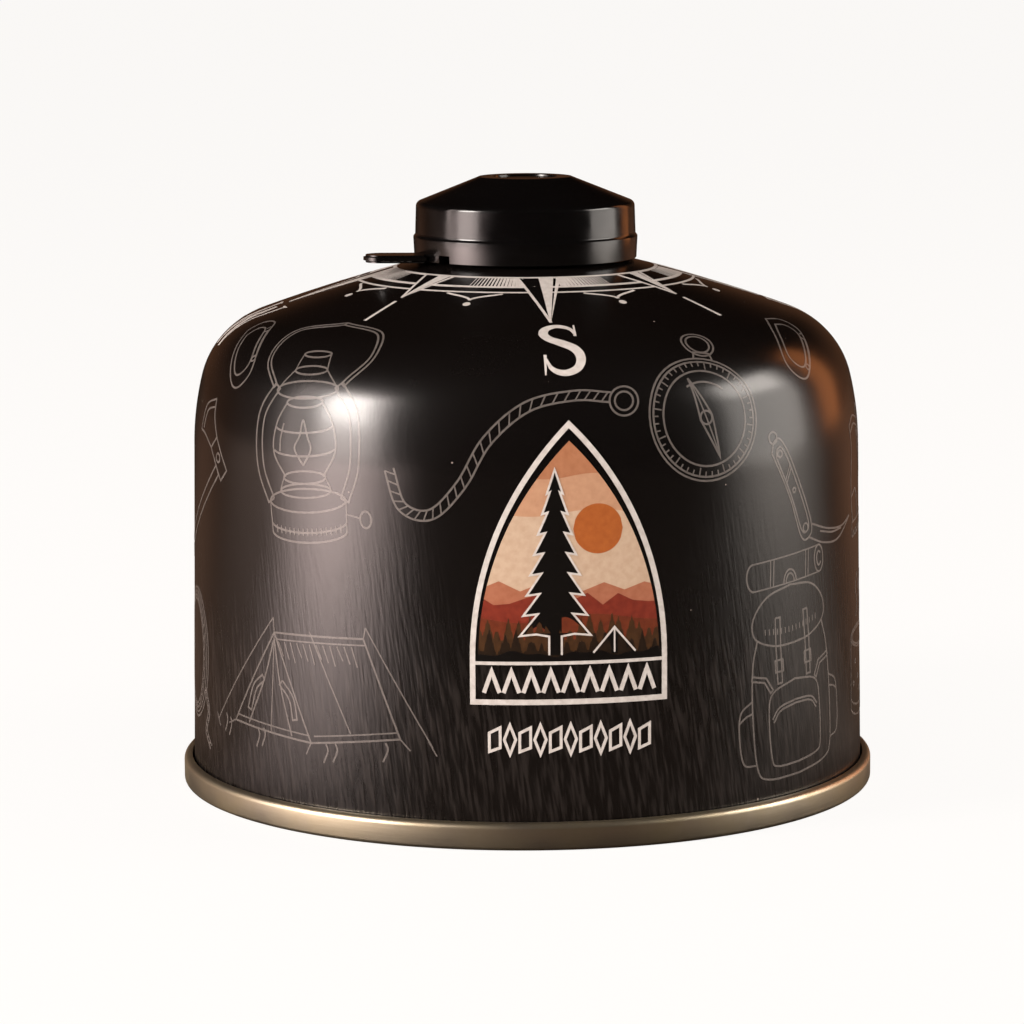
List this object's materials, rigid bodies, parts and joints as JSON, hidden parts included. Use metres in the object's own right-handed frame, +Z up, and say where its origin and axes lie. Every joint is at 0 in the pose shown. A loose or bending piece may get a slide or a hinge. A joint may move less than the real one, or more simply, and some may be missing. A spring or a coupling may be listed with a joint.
{
  "type": "screw-on camping fuel canister",
  "caption": "Squat pressed-steel fuel canister with a domed shoulder, seamed gold foot rim, threaded valve collar and push-on plastic cap.",
  "frame": {"origin": "centre of the foot rim, on the surface that the can stands on", "axes": "+Z up along the can's axis towards the cap; -Y is the front with the emblem; the cap's pull tab points to -X"},
  "size_m": [0.11, 0.11, 0.0956],
  "materials": {
    "black_lacquer": "satin gloss lacquer over drawn steel, with fine printed line art",
    "gold_tinplate": "tinplate under a thin gold lacquer",
    "nitrile_rubber": "moulded, matt",
    "acetal": "moulded, off-white",
    "spring_steel": "drawn wire",
    "black_polypropylene": "moulded, glossy"
  },
  "bodies": {
    "can": {"can_body": "black_lacquer", "bottom_end": "gold_tinplate", "valve_cup": "gold_tinplate", "cup_gasket": "nitrile_rubber", "stem_gasket": "nitrile_rubber", "valve_housing": "acetal", "valve_spring": "spring_steel"},
    "stem": {"valve_stem": "acetal"},
    "cap": {"cap": "black_polypropylene"}
  },
  "joints": [
    {"name": "cap_lift", "type": "slide", "parent": "can", "child": "cap", "axis": [0, 0, 1], "range_m": [0, 0.02]},
    {"name": "valve_press", "type": "slide", "parent": "can", "child": "stem", "axis": [0, 0, -1], "range_m": [0, 0.0015], "stiffness_N_per_m": 4000, "springref_m": -0.001, "deforming": ["valve_spring"]}
  ]
}
